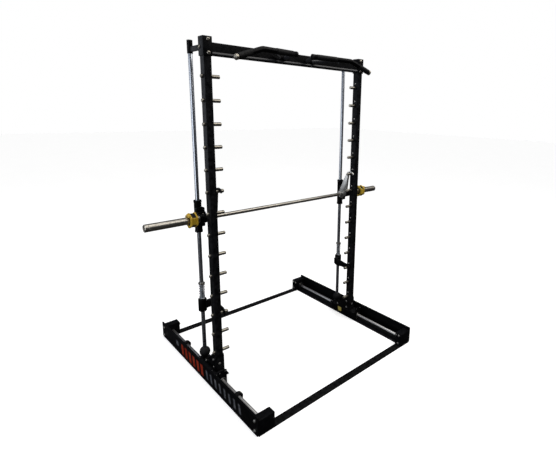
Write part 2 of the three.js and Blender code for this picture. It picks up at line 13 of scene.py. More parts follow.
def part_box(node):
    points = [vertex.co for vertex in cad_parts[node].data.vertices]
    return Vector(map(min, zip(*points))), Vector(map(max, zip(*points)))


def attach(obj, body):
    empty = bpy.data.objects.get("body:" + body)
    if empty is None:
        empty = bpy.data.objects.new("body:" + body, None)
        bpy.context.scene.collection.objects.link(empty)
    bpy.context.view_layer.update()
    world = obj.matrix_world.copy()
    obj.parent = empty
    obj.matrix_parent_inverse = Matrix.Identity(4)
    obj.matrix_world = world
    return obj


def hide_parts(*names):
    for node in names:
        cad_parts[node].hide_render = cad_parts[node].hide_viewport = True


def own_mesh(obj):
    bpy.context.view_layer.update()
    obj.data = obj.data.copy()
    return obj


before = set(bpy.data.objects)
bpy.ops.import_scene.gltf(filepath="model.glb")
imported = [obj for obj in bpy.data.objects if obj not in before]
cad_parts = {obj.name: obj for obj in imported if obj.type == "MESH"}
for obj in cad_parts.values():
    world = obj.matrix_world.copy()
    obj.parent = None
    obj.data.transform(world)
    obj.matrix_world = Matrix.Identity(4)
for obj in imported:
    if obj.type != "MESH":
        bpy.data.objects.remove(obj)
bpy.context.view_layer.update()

SIDES = (("left", -1), ("right", 1))
ENDS = (("front", -1), ("rear", 1))
MM = 0.001
SHARP = math.radians(32)


# ---------- places, read from the frame ----------

def middle(node):
    low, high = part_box(node)
    return (low + high) / 2


def inner_outer(node, side):
    """The node's span along X, from the middle of the machine outwards."""
    low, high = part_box(node)
    return (low.x, high.x) if side > 0 else (high.x, low.x)


def half_width(node, axis):
    low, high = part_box(node)
    place = "xyz".index(axis)
    return (high[place] - low[place]) / 2


ROD = middle("guide_rod_right")
ROD_RADIUS = half_width("guide_rod_right", "x")
SHAFT = middle("carriage_shaft_right")
SHAFT_RADIUS = half_width("carriage_shaft_right", "z")
BAR = middle("bar_shaft")
BAR_RADIUS = half_width("bar_shaft", "z")
RUNNING_GAP = 0.4 * MM
BASE_REACH = 730 * MM
DECK_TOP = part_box("foot_deck_right")[1].z
BEAM_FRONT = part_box("top_beam")[0].y
UPRIGHT_INNER = 654 * MM
UPRIGHT_OUTER = 704 * MM
UPRIGHT_FRONT = -121.5 * MM
UPRIGHT_REAR = -66.5 * MM
UPRIGHT_Y = (UPRIGHT_FRONT + UPRIGHT_REAR) / 2
PEG_COUNT = 14
PEG_PITCH = 145 * MM
PEG_TOP_Z = 2111 * MM
PEG_RADIUS = 12 * MM
PEG_MOUTH = PEG_RADIUS + 0.8 * MM
SCREW_ABOVE_PEG = 34 * MM
BAR_PEG = 5
STOP_PEG = 11


def peg_height(index):
    """Height of a peg's axis. Peg 0 is the highest."""
    return PEG_TOP_Z - index * PEG_PITCH


# ---------- materials ----------

class Look:
    """A Principled material with a few short-hands for its node tree."""

    def __init__(self, name):
        self.material = bpy.data.materials.new(name)
        self.material.use_nodes = True
        self.tree = self.material.node_tree
        self.shader = self.tree.nodes["Principled BSDF"]
        self.coords = self.tree.nodes.new("ShaderNodeTexCoord").outputs["Object"]

    def node(self, kind, **inputs):
        node = self.tree.nodes.new(kind)
        for key, value in inputs.items():
            node.inputs[key].default_value = value
        return node

    def link(self, output, target):
        self.tree.links.new(output, target)

    def noise(self, scale, detail, stretch=(1, 1, 1)):
        mapping = self.node("ShaderNodeMapping", Scale=stretch)
        self.link(self.coords, mapping.inputs["Vector"])
        noise = self.node("ShaderNodeTexNoise", Scale=scale, Detail=detail)
        self.link(mapping.outputs["Vector"], noise.inputs["Vector"])
        return noise.outputs["Fac"]

    def clouds(self, scale, detail, dark, light, start=0.3, end=0.7):
        """Two colours in soft patches."""
        ramp = self.tree.nodes.new("ShaderNodeValToRGB")
        for element, place, colour in zip(ramp.color_ramp.elements, (start, end), (dark, light)):
            element.position = place
            element.color = (*colour, 1.0)
        self.link(self.noise(scale, detail), ramp.inputs["Fac"])
        return ramp.outputs["Color"]

    def remap(self, factor, start, end, low, high):
        """The range start to end carried to the range low to high."""
        ends = {"From Min": start, "From Max": end, "To Min": low, "To Max": high}
        remap = self.node("ShaderNodeMapRange", **ends)
        self.link(factor, remap.inputs["Value"])
        return remap.outputs["Result"]

    def spread(self, scale, detail, low, high):
        """A noise, its middle range carried to the range low to high."""
        return self.remap(self.noise(scale, detail), 0.3, 0.7, low, high)

    def maths(self, operation, *values):
        """A math node; each value is a number or another node's output."""
        node = self.tree.nodes.new("ShaderNodeMath")
        node.operation = operation
        for value, socket in zip(values, node.inputs):
            if isinstance(value, float):
                socket.default_value = value
            else:
                self.link(value, socket)
        return node.outputs["Value"]

    def mix(self, factor, first, second):
        mix = self.tree.nodes.new("ShaderNodeMix")
        mix.data_type = "RGBA"
        self.link(factor, mix.inputs["Factor"])
        self.link(first, mix.inputs["A"])
        mix.inputs["B"].default_value = (*second, 1.0)
        return mix.outputs["Result"]

    def bump(self, height, strength, distance):
        bump = self.node("ShaderNodeBump", Strength=strength, Distance=distance)
        self.link(height, bump.inputs["Height"])
        self.link(bump.outputs["Normal"], self.shader.inputs["Normal"])

    def worn_edges(self, colour, tint):
        """Lighter colour where an outside edge has been rubbed."""
        geometry = self.tree.nodes.new("ShaderNodeNewGeometry")
        edge = self.remap(geometry.outputs["Pointiness"], 0.53, 0.62, 0.0, 0.55)
        patches = self.spread(45, 3, 0.0, 1.0)
        return self.mix(self.maths("MULTIPLY", edge, patches), colour, tint)

    def feed(self, name, output):
        """Links an output to one of the shader's inputs."""
        self.link(output, self.shader.inputs[name])

    def set(self, **values):
        for key, value in values.items():
            self.shader.inputs[key.replace("_", " ")].default_value = value


def painted(name, dark, light, roughness, grain=700, edge=(0.05, 0.05, 0.055), specular=0.25):
    """A sprayed or baked coat with fine orange peel."""
    look = Look(name)
    look.set(Specular_IOR_Level=specular)
    colour = look.clouds(7, 4, dark, light, 0.35, 0.68)
    look.feed("Base Color", look.worn_edges(colour, edge))
    look.feed("Roughness", look.spread(23, 5, *roughness))
    look.bump(look.noise(grain, 2), 0.15, 0.0003)
    return look.material


def metal(name, dark, light, roughness, stretch=(1, 1, 1), scratch=0.03):
    """Bare or plated metal with faint mottling and fine tool lines across the stretched axis."""
    look = Look(name)
    look.set(Metallic=1.0)
    look.feed("Base Color", look.clouds(30, 5, dark, light))
    look.feed("Roughness", look.spread(60, 4, *roughness))
    look.bump(look.noise(900, 2, stretch), scratch, 0.0001)
    return look.material


def knurled_chrome(name):
    """Satin chrome with crossed knurling, for the hand zones and the middle of the bar."""
    look = Look(name)
    look.set(Metallic=1.0)
    look.feed("Base Color", look.clouds(25, 5, (0.40, 0.37, 0.33), (0.52, 0.49, 0.44)))
    look.feed("Roughness", look.spread(50, 4, 0.28, 0.36))
    heights = []
    for slant in (1, -1):
        wave = look.node("ShaderNodeTexWave", Scale=190.0)
        turn = look.node("ShaderNodeMapping", Rotation=(0, 0, slant * math.radians(33)))
        look.link(look.coords, turn.inputs["Vector"])
        look.link(turn.outputs["Vector"], wave.inputs["Vector"])
        heights.append(wave.outputs["Fac"])
    look.bump(look.maths("MULTIPLY", *heights), 0.12, 0.0002)
    return look.material


def rubber(name):
    look = Look(name)
    colour = look.clouds(18, 5, (0.0025, 0.0025, 0.0030), (0.0055, 0.0055, 0.0064), 0.35)
    look.set(Specular_IOR_Level=0.28)
    look.feed("Base Color", look.worn_edges(colour, (0.04, 0.04, 0.04)))
    look.feed("Roughness", look.spread(40, 4, 0.55, 0.75))
    look.bump(look.noise(420, 3), 0.3, 0.0005)
    return look.material


def floor_paint():
    """Nearly white to the eye; a dark grey in the steel's reflections, so undersides stay dark."""
    look = Look("pale_floor")
    pale = look.clouds(1.5, 5, (0.93, 0.93, 0.93), (0.96, 0.96, 0.96))
    light_path = look.tree.nodes.new("ShaderNodeLightPath")
    to_camera = light_path.outputs["Is Camera Ray"]
    elsewhere = look.maths("SUBTRACT", 1.0, to_camera)
    look.feed("Base Color", look.mix(elsewhere, pale, (0.04, 0.04, 0.04)))
    look.feed("Emission Strength", look.maths("MULTIPLY", to_camera, 0.55))
    look.set(Roughness=0.85, Specular_IOR_Level=0.1, Emission_Color=(1.0, 1.0, 1.0, 1.0))
    return look.material


BLACK, ZINC, RUBBER, YELLOW = "black_powder_coat", "zinc_plate", "black_rubber", "yellow_collar"

LOOKS = {
    BLACK: painted(
        BLACK, (0.0008, 0.0009, 0.0013), (0.0018, 0.0019, 0.0026), (0.34, 0.44), specular=0.10),
    "strap_grey": painted(
        "strap_grey", (0.0008, 0.0009, 0.0007), (0.0018, 0.0019, 0.0016), (0.55, 0.7), specular=0.05),
    "rod_chrome": metal(
        "rod_chrome", (0.60, 0.64, 0.70), (0.66, 0.70, 0.76), (0.27, 0.29), (0.2, 0.2, 3), scratch=0.004),
    "bar_chrome": metal(
        "bar_chrome", (0.46, 0.43, 0.38), (0.56, 0.53, 0.47), (0.30, 0.34), (3, 0.2, 0.2), scratch=0.006),
    ZINC: metal(ZINC, (0.36, 0.33, 0.28), (0.48, 0.45, 0.38), (0.28, 0.36), scratch=0.01),
    RUBBER: rubber(RUBBER),
    YELLOW: painted(
        YELLOW, (0.82, 0.52, 0.035), (0.95, 0.66, 0.075), (0.30, 0.42), 500, (0.85, 0.75, 0.40), 0.45),
    "spring_steel": metal("spring_steel", (0.45, 0.47, 0.50), (0.62, 0.64, 0.66), (0.24, 0.34)),
}
HOOK_STEEL = metal("hook_steel", (0.58, 0.57, 0.54), (0.74, 0.73, 0.70), (0.26, 0.32), scratch=0.01)
SHAFT_STEEL = metal("shaft_steel", (0.64, 0.63, 0.62), (0.76, 0.75, 0.74), (0.36, 0.40), (0.2, 3, 0.2))
# A lighter, glossier grey than the black coat: a painted highlight, used on the beam's lower-edge bead and
# on the handle legs.
PAINTED_HIGHLIGHT_GREY = painted(
    "painted_highlight_grey", (0.034, 0.035, 0.039), (0.048, 0.050, 0.056), (0.30, 0.34), edge=(0.08, 0.08, 0.09),
    specular=0.4)
KNURLED = knurled_chrome("knurled_chrome")
RED_VINYL = painted(
    "red_vinyl", (0.32, 0.018, 0.005), (0.42, 0.030, 0.009), (0.5, 0.6), 500, (0.5, 0.1, 0.05), 0.08)
GREY_VINYL = painted(
    "grey_vinyl", (0.05, 0.055, 0.07), (0.09, 0.096, 0.115), (0.5, 0.6), 500, (0.3, 0.3, 0.3), 0.08)
YELLOW_FILM = painted(
    "yellow_film", (0.80, 0.62, 0.10), (0.95, 0.78, 0.18), (0.3, 0.4), 500, (0.9, 0.8, 0.4))


# ---------- shapes, in the part's own frame ----------

def block(low, high):
    """A box between two corners given in any order."""
    bm = bmesh.new()
    bmesh.ops.create_cube(bm, size=1)
    low, high = Vector(low), Vector(high)
    size = Vector([abs(b - a) for a, b in zip(low, high)])
    place = Matrix.Translation((low + high) / 2) @ Matrix.Diagonal((*size, 1))
    bmesh.ops.transform(bm, matrix=place, verts=bm.verts)
    return bm


def curve(first, control, last, steps):
    """Points along a quadratic curve, both ends included."""
    return [first * (1 - t) ** 2 + control * 2 * t * (1 - t) + last * t * t
            for t in [step / steps for step in range(steps + 1)]]


def arc(centre, radius, first_angle, last_angle, steps):
    angles = [first_angle + (last_angle - first_angle) * step / steps for step in range(steps + 1)]
    return [centre + radius * Vector((math.cos(a), math.sin(a))) for a in angles]


def circle(bm, centre, radius, across, other, sides):
    """A ring of new vertices in the plane of the two given directions."""
    angles = [2 * math.pi * k / sides for k in range(sides)]
    return [bm.verts.new(centre + radius * (across * math.cos(a) + other * math.sin(a))) for a in angles]


def bridge(bm, lower, upper):
    """Faces between two rings of vertices. Either ring may be a single vertex."""
    count = max(len(lower), len(upper))
    for i in range(count):
        j = (i + 1) % count
        corners = [lower[i % len(lower)], lower[j % len(lower)]]
        corners += [upper[j % len(upper)], upper[i % len(upper)]]
        bm.faces.new(list(dict.fromkeys(corners)))


def turned(profile, origin, axis, sides=48, closed=False, start=None):
    """A profile of (distance along axis, radius) turned about the axis. A closed profile is a ring."""
    bm = bmesh.new()
    axis = Vector(axis).normalized()
    across = Vector(start) if start else axis.orthogonal().normalized()
    other = axis.cross(across)
    rings = []
    for along, radius in profile:
        centre = Vector(origin) + axis * along
        if radius < 1e-6:
            rings.append([bm.verts.new(centre)])
            continue
        rings.append(circle(bm, centre, radius, across, other, sides))
    for lower, upper in zip(rings, rings[1:]):
        bridge(bm, lower, upper)
    if closed:
        bridge(bm, rings[-1], rings[0])
    else:
        for ring in (rings[0], rings[-1]):
            if len(ring) > 1:
                bm.faces.new(ring)
    return bm


def rod(start, end, radius, sides=48):
    start, end = Vector(start), Vector(end)
    return turned([(0, radius), ((end - start).length, radius)], start, end - start, sides)


def ring(origin, axis, length, inner, outer, sides=48):
    """A plain ring: bore radius inner, outside radius outer."""
    profile = [(0, inner), (0, outer), (length, outer), (length, inner)]
    return turned(profile, origin, axis, sides, closed=True)


def ring_on_bar(start, side, length, inner, outer, sides=48):
    """A ring round the lifting bar, from start towards the given side."""
    return ring((start, BAR.y, BAR.z), (side, 0, 0), length, inner, outer, sides)


def ring_on_rod(side, low, height, inner, outer, sides=48):
    """An upright ring round a guide rod."""
    return ring((side * ROD.x, ROD.y, low), (0, 0, 1), height, inner, outer, sides)


def prism(outline, normal, span):
    """A flat outline given thickness: normal x takes (y, z) points, y takes (x, z), z takes (x, y)."""
    at = "xyz".index(normal)
    bm = bmesh.new()
    faces = [[bm.verts.new((*point[:at], depth, *point[at:])) for point in outline] for depth in span]
    bridge(bm, *faces)
    for face in faces:
        bm.faces.new(face)
    return bm


def rounded_outline(corners, steps=6):
    """A polygon whose corners, given as (a, b, radius), are rounded."""
    points = []
    count = len(corners)
    for index, (a, b, radius) in enumerate(corners):
        corner = Vector((a, b))
        before = Vector(corners[index - 1][:2]) - corner
        after = Vector(corners[(index + 1) % count][:2]) - corner
        if radius <= 0:
            points.append((a, b))
            continue
        half = before.angle(after) / 2
        reach = min(radius / math.tan(half), 0.49 * before.length, 0.49 * after.length)
        first = corner + before.normalized() * reach
        last = corner + after.normalized() * reach
        points += [tuple(point) for point in curve(first, corner, last, steps)]
    return points


def rounded_box_outline(a_span, b_span, radius):
    (a0, a1), (b0, b1) = sorted(a_span), sorted(b_span)
    return rounded_outline([(a0, b0, radius), (a1, b0, radius), (a1, b1, radius), (a0, b1, radius)])


def swept(path, radius, sides=24):
    """A round bar along a path of points."""
    bm = bmesh.new()
    points = [Vector(p) for p in path]
    across = (points[1] - points[0]).orthogonal().normalized()
    rings = []
    for index, point in enumerate(points):
        ahead = points[min(index + 1, len(points) - 1)]
        behind = points[max(index - 1, 0)]
        along = (ahead - behind).normalized()
        across = (across - along * across.dot(along)).normalized()
        rings.append(circle(bm, point, radius, across, along.cross(across), sides))
    for lower, upper in zip(rings, rings[1:]):
        bridge(bm, lower, upper)
    bm.faces.new(rings[0])
    bm.faces.new(rings[-1])
    return bm


def softened(bm, width, segments=2):
    """Rounds every sharp edge."""
    bmesh.ops.recalc_face_normals(bm, faces=bm.faces)
    edges = [e for e in bm.edges if e.is_manifold and e.calc_face_angle(0) > SHARP]
    bmesh.ops.bevel(
        bm, geom=edges, offset=width, segments=segments, profile=0.5, affect="EDGES", clamp_overlap=True)
    return bm


def slab(node, width, segments=2):
    """The node's own box with rounded edges."""
    return softened(block(*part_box(node)), width, segments)


def hex_bolt(origin, axis, size, washer=True):
    """A hexagon head on a washer. size is half the width across the head's corners."""
    axis = Vector(axis).normalized()
    origin = Vector(origin)
    head_start = 0.25 * size if washer else 0.0
    head = turned([(head_start, size), (head_start + 0.8 * size, size)], origin, axis, 6)
    parts = [softened(head, 0.12 * size, 2)]
    if washer:
        disc = turned([(0, 1.6 * size), (head_start, 1.6 * size)], origin, axis, 24)
        parts.append(softened(disc, 0.06 * size, 1))
    return parts


def dome_bolt(origin, axis, size):
    """A domed head with a socket in its top."""
    profile = [(0, size), (0.22 * size, size), (0.5 * size, 0.86 * size), (0.7 * size, 0.6 * size),
               (0.75 * size, 0.42 * size), (0.3 * size, 0.38 * size), (0.3 * size, 0)]
    return [turned(profile, origin, axis, 24)]


def piece(name, parts, slot, body, replaces=(), material=None):
    """One object made of closed bodies, riding on a CAD body."""
    mesh = bpy.data.meshes.new(name)
    whole = bmesh.new()
    for bm in parts:
        bmesh.ops.recalc_face_normals(bm, faces=bm.faces)
        bm.to_mesh(mesh)
        bm.free()
        whole.from_mesh(mesh)
    whole.to_mesh(mesh)
    whole.free()
    mesh.materials.append(material or LOOKS[slot])
    mesh.polygons.foreach_set("use_smooth", [True] * len(mesh.polygons))
    mesh.set_sharp_from_angle(angle=SHARP)
    obj = bpy.data.objects.new(name, mesh)
    bpy.context.scene.collection.objects.link(obj)
    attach(obj, body)
    if replaces:
        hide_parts(*replaces)
    return obj


# ---------- base ----------

def base_plates(side_name):
    low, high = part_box(f"side_plate_{side_name}")
    foot_round, top_round = 16 * MM, 6 * MM
    outline = rounded_outline([
        (low.y, low.z, foot_round), (high.y, low.z, foot_round),
        (high.y, high.z, top_round), (low.y, high.z, top_round)])
    plate = softened(prism(outline, "x", (low.x, high.x)), 1.2 * MM)
    piece(f"rail_plate_{side_name}", [plate], BLACK, "base", [f"side_plate_{side_name}"])
    floor_plate = slab(f"bottom_plate_{side_name}", 1 * MM)
    piece(f"rail_floor_{side_name}", [floor_plate], BLACK, "base", [f"bottom_plate_{side_name}"])


def base_shaft(side_name, side):
    node = f"carriage_shaft_{side_name}"
    low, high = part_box(node)
    front, rear = [(side * SHAFT.x, y, SHAFT.z) for y in (low.y, high.y)]
    shaft = softened(rod(front, rear, SHAFT_RADIUS, 64), 1 * MM)
    piece(f"floor_shaft_{side_name}", [shaft], "rod_chrome", "base", [node], material=SHAFT_STEEL)


END_BOLTS_INSIDE = ((24, 96), (29, 25), (56, 93))    # mm from the base's end, mm high
END_BOLTS_OUTSIDE = ((35, 93), (35, 26))


def end_block(end_name, end, side_name, side):
    node = f"end_block_{end_name}_{side_name}"
    piece(f"rail_end_{end_name}_{side_name}", [slab(node, 2.5 * MM, 3)], BLACK, "base", [node])
    inner_face = inner_outer(node, side)[0]
    plate_face = inner_outer(f"side_plate_{side_name}", side)[1]
    bolts = []
    for from_end, height in END_BOLTS_INSIDE:
        at = (inner_face, end * (BASE_REACH - from_end * MM), height * MM)
        bolts += hex_bolt(at, (-side, 0, 0), 6.5 * MM)
    for from_end, height in END_BOLTS_OUTSIDE:
        at = (plate_face, end * (BASE_REACH - from_end * MM), height * MM)
        bolts += hex_bolt(at, (side, 0, 0), 7 * MM)
    piece(f"rail_end_bolts_{end_name}_{side_name}", bolts, ZINC, "base", material=HOOK_STEEL)


def shaft_collar(end_name, side_name, side):
    """A clamp collar: a rubber-faced ring with a clamp screw."""
    node = f"stop_collar_{end_name}_{side_name}"
    low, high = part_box(node)
    radius = half_width(node, "z")
    body = ring((side * SHAFT.x, low.y, SHAFT.z), (0, 1, 0), high.y - low.y, SHAFT_RADIUS, radius)
    body = softened(body, 2.5 * MM, 3)
    piece(f"shaft_stop_{end_name}_{side_name}", [body], RUBBER, "base", [node])
    at = (side * SHAFT.x - side * 0.6 * radius, (low.y + high.y) / 2, SHAFT.z + 0.72 * radius)
    screw = dome_bolt(at, (-side * 0.64, 0, 0.77), 4 * MM)
    piece(f"shaft_stop_screw_{end_name}_{side_name}", screw, ZINC, "base")


def cross_strap(end_name):
    node = f"cross_strap_{end_name}"
    low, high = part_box(node)
    piece(f"floor_strap_{end_name}", [slab(node, 1 * MM)], "strap_grey", "base", [node])
    screws = []
    sunk = 0.2 * MM
    for _, side in SIDES:
        for offset in (16, 44):
            at = (side * (high.x - 22 * MM), low.y + offset * MM, high.z - sunk)
            screws += dome_bolt(at, (0, 0, 1), 5 * MM)
    piece(f"floor_strap_screws_{end_name}", screws, BLACK, "base")


def slanted_bar(y, width, z_low, z_high, lean, x_face):
    """One printed bar, a thin film on the outer face of the left rail plate."""
    outline = [(y, z_low), (y + width, z_low), (y + width + lean, z_high), (y + lean, z_high)]
    return prism(outline, "x", (x_face, x_face - 0.25 * MM))


def rail_decals():
    """Plain slanted bars in two colours, in place of the lettering."""
    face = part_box("side_plate_left")[0].x
    red = [slanted_bar((302 - 66 * k) * MM, 36 * MM, 26 * MM, 106 * MM, 12 * MM, face) for k in range(6)]
    grey = [slanted_bar((-100 - 63 * k) * MM, 24 * MM, 34 * MM, 98 * MM, 12 * MM, face) for k in range(8)]
    tab = [slanted_bar(400 * MM, 40 * MM, 60 * MM, 98 * MM, 8 * MM, face)]
    piece("rail_bars_red", red, YELLOW, "base", material=RED_VINYL)
    piece("rail_bars_grey", grey + tab, "strap_grey", "base", material=GREY_VINYL)


def build_base():
    for side_name, side in SIDES:
        base_plates(side_name)
        base_shaft(side_name, side)
        for end_name, end in ENDS:
            end_block(end_name, end, side_name, side)
            shaft_collar(end_name, side_name, side)
    for end_name, _ in ENDS:
        cross_strap(end_name)
    rail_decals()


# ---------- carriage ----------

def bearing(side_name, side):
    """The long bearing housing, the flange plate on its front, and a seal at each end."""
    node = f"shaft_bearing_{side_name}"
    piece(f"bearing_housing_{side_name}", [slab(node, 2 * MM, 3)], BLACK, "carriage", [node])
    flange_node = f"bearing_flange_{side_name}"
    flange_low, flange_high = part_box(flange_node)
    outline = rounded_box_outline((flange_low.x, flange_high.x), (flange_low.z, flange_high.z), 5 * MM)
    flange = softened(prism(outline, "y", (flange_low.y, flange_high.y)), 0.8 * MM)
    piece(f"bearing_front_plate_{side_name}", [flange], BLACK, "carriage", [flange_node])
    front, rear = [(side * SHAFT.x, y, SHAFT.z) for y in (flange_low.y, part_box(node)[1].y)]
    bore = SHAFT_RADIUS + 0.2 * MM
    end_ring = ring(front, (0, -1, 0), 4 * MM, 17 * MM, 26 * MM)
    piece(f"bearing_end_ring_{side_name}", [softened(end_ring, 0.8 * MM)], ZINC, "carriage",
          material=HOOK_STEEL)
    front_seal = ring(front, (0, -1, 0), 3 * MM, bore, 16.8 * MM)
    piece(f"bearing_front_seal_{side_name}", [softened(front_seal, 0.6 * MM)], RUBBER, "carriage")
    rear_seal = ring(rear, (0, 1, 0), 4 * MM, bore, 24 * MM)
    piece(f"bearing_rear_seal_{side_name}", [softened(rear_seal, 1 * MM)], RUBBER, "carriage")
    bolts = []
    for x in (flange_low.x + 11 * MM, flange_high.x - 11 * MM):
        for z in (flange_low.z + 9 * MM, flange_high.z - 9 * MM):
            bolts += hex_bolt((x, flange_low.y, z), (0, -1, 0), 5 * MM, washer=False)
    piece(f"bearing_front_bolts_{side_name}", bolts, ZINC, "carriage", material=HOOK_STEEL)


GUSSET_TOP = 208 * MM
GUSSET_BOLTS = ((-86, 109), (-86, 167), (32, 102))              # mm along Y, mm high
DECK_BOLTS = ((728, -152), (728, -87), (728, 112), (662, 118))    # mm from the middle, mm along Y


def foot(side_name, side):
    node = f"foot_deck_{side_name}"
    piece(f"foot_plate_{side_name}", [slab(node, 1.5 * MM)], BLACK, "carriage", [node])
    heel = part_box(f"foot_gusset_inner_{side_name}")[1].y
    outline = rounded_outline([
        (UPRIGHT_FRONT, DECK_TOP, 0), (heel, DECK_TOP, 0), (heel, DECK_TOP + 20 * MM, 8 * MM),
        (UPRIGHT_REAR + 55 * MM, 147 * MM, 60 * MM), (UPRIGHT_REAR, GUSSET_TOP, 6 * MM),
        (UPRIGHT_FRONT, GUSSET_TOP, 10 * MM)])
    bolts = []
    for place in ("inner", "outer"):
        gusset_node = f"foot_gusset_{place}_{side_name}"
        span = inner_outer(gusset_node, side)
        plate = softened(prism(outline, "x", span), 1.2 * MM)
        piece(f"foot_gusset_plate_{place}_{side_name}", [plate], BLACK, "carriage", [gusset_node])
        face, out = (span[0], -side) if place == "inner" else (span[1], side)
        for y, height in GUSSET_BOLTS:
            bolts += hex_bolt((face, y * MM, height * MM), (out, 0, 0), 6 * MM)
    bolts += hex_bolt((side * (UPRIGHT_INNER + 30 * MM), UPRIGHT_FRONT, 144 * MM), (0, -1, 0), 6.5 * MM)
    for x, y in DECK_BOLTS:
        bolts += hex_bolt((side * x * MM, y * MM, DECK_TOP), (0, 0, 1), 5 * MM, washer=False)
    piece(f"foot_bolts_{side_name}", bolts, ZINC, "carriage", material=HOOK_STEEL)


def racking_peg(side, inner_end, length, z):
    """The bright pin that sticks out of the upright's inner face."""
    profile = [(0, 0), (0, PEG_RADIUS), (length, PEG_RADIUS), (length, 0)]
    return softened(turned(profile, (inner_end, UPRIGHT_Y, z), (side, 0, 0), 40), 1.6 * MM, 3)


def peg_head(side, face, length, z):
    """The domed head of the same pin, on the outer face."""
    profile = [(-1 * MM, PEG_RADIUS), (0.5 * length, PEG_RADIUS), (0.8 * length, 0.85 * PEG_RADIUS),
               (0.95 * length, 0.55 * PEG_RADIUS), (length, 0)]
    return turned(profile, (face, UPRIGHT_Y, z), (side, 0, 0), 32)


def peg_weld(side, face, z):
    profile = [(0, 15 * MM), (1.4 * MM, 14 * MM), (2.6 * MM, 12.2 * MM)]
    return softened(turned(profile, (face, UPRIGHT_Y, z), (-side, 0, 0), 32), 0.4 * MM)


def upright(side_name, side):
    """The square tube, with its pegs, the screws over them and the small welds round them."""
    node = f"upright_{side_name}"
    low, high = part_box(node)
    x_span = (side * UPRIGHT_INNER, side * UPRIGHT_OUTER)
    outline = rounded_box_outline(x_span, (UPRIGHT_FRONT, UPRIGHT_REAR), 5 * MM)
    tube = prism(outline, "z", (low.z, high.z))
    piece(f"upright_tube_{side_name}", [tube], BLACK, "carriage", [node])
    inner_end, outer_end = inner_outer(node, side)
    pegs, welds, screws = [], [], []
    for index in range(PEG_COUNT):
        z = peg_height(index)
        pegs.append(racking_peg(side, inner_end, abs(inner_end - x_span[0]) + 2 * MM, z))
        pegs.append(peg_head(side, x_span[1], abs(outer_end - x_span[1]), z))
        welds.append(peg_weld(side, x_span[0], z))
        screws += dome_bolt((x_span[0], UPRIGHT_Y, z + SCREW_ABOVE_PEG), (-side, 0, 0), 7.5 * MM)
    piece(f"racking_pegs_{side_name}", pegs, ZINC, "carriage")
    piece(f"peg_welds_{side_name}", welds, BLACK, "carriage")
    piece(f"upright_screws_{side_name}", screws, ZINC, "carriage", material=HOOK_STEEL)


CAP_BOLT_HEIGHTS = (2323 * MM, 2246 * MM)
CAP_SIDE_BOLT_HEIGHT = 2280 * MM


def top_cap(side_name, side):
    node = f"top_cap_{side_name}"
    low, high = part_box(node)
    piece(f"upright_cap_{side_name}", [slab(node, 3 * MM, 3)], BLACK, "carriage", [node])
    outer = inner_outer(node, side)[1]
    middle_x = (low.x + high.x) / 2
    bolts = []
    for z in CAP_BOLT_HEIGHTS:
        bolts += dome_bolt((middle_x - side * 4 * MM, low.y, z), (0, -1, 0), 12 * MM)
    bolts += dome_bolt((outer, high.y - 17 * MM, CAP_SIDE_BOLT_HEIGHT), (side, 0, 0), 11 * MM)
    piece(f"cap_bolts_{side_name}", bolts, ZINC, "carriage")


def top_beam():
    """A rounded tube with a glossy bead rolled along its lower front edge; the bead is a lighter grey than
    the black coat, a painted highlight line.
    """
    low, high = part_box("top_beam")
    outline = rounded_box_outline((low.y, high.y), (low.z, high.z), 6 * MM)
    beam = softened(prism(outline, "x", (low.x, high.x)), 0.6 * MM, 1)
    piece("cross_beam", [beam], BLACK, "carriage", ["top_beam"])
    depth, buried = 3 * MM, 2 * MM
    outline = rounded_outline([
        (low.y + buried, low.z + 20 * MM, 0), (low.y, low.z + 19 * MM, 0),
        (low.y - depth, low.z + 10 * MM, 1 * MM), (low.y, low.z + 5 * MM, 0),
        (low.y + buried, low.z + 4 * MM, 0)])
    bead = prism(outline, "x", (low.x + 2 * MM, high.x - 2 * MM))
    # The bead's lighter grey paints the highlight line along the beam's lower front edge.
    piece("cross_beam_highlight_bead", [bead], BLACK, "carriage", material=PAINTED_HIGHLIGHT_GREY)


HANDLE_RADIUS = 18 * MM
HANDLE_INNER = Vector((70, -212, 2293)) * MM
HANDLE_BEND = Vector((395, -284, 2285)) * MM
HANDLE_TIP = Vector((592, -296, 2217)) * MM
HANDLE_LEG_RADIUS = 14 * MM
HANDLE_LEGS = ((0.06, 104 * MM), (0.8, 122 * MM))    # share of the level grip, X of the foot
HANDLE_FOOT_Z = 2266 * MM
HANDLE_PLATE_HALF = (36 * MM, 15 * MM)
HANDLE_PLATE_THICKNESS = 5 * MM


def bent_path(first, corner, last, reach=14 * MM):
    """A path from first to last, rounded for a short reach on both sides of the corner."""
    back = (first - corner).normalized() * reach
    ahead = (last - corner).normalized() * reach
    return [first, *curve(corner + back, corner, corner + ahead, 8), last]


def handle_cap(at, axis):
    """A cup over the tube's end, with a rounded nose."""
    skirt = HANDLE_RADIUS + 0.8 * MM
    profile = [(-14 * MM, skirt), (1 * MM, skirt), (4 * MM, HANDLE_RADIUS - 3 * MM),
               (5.5 * MM, HANDLE_RADIUS - 9 * MM), (6 * MM, 0)]
    return softened(turned(profile, at, axis, 40), 0.8 * MM)


def ribbed_grip(first, last, start, end, ribs=14):
    """A rubber grip with low ribs, over the part from start to end of the tube between two points."""
    length = (last - first).length
    valley = HANDLE_RADIUS + 0.2 * MM
    crest = HANDLE_RADIUS + 1.6 * MM
    shoulder = HANDLE_RADIUS + 0.9 * MM
    profile = [(start * length, valley)]
    for index in range(ribs):
        here = (start + (end - start) * (index + 0.5) / ribs) * length
        profile += [(here - 3 * MM, crest), (here + 3 * MM, crest), (here + 4 * MM, shoulder)]
    profile.append((end * length, valley))
    return turned(profile, first, (last - first).normalized(), 40)


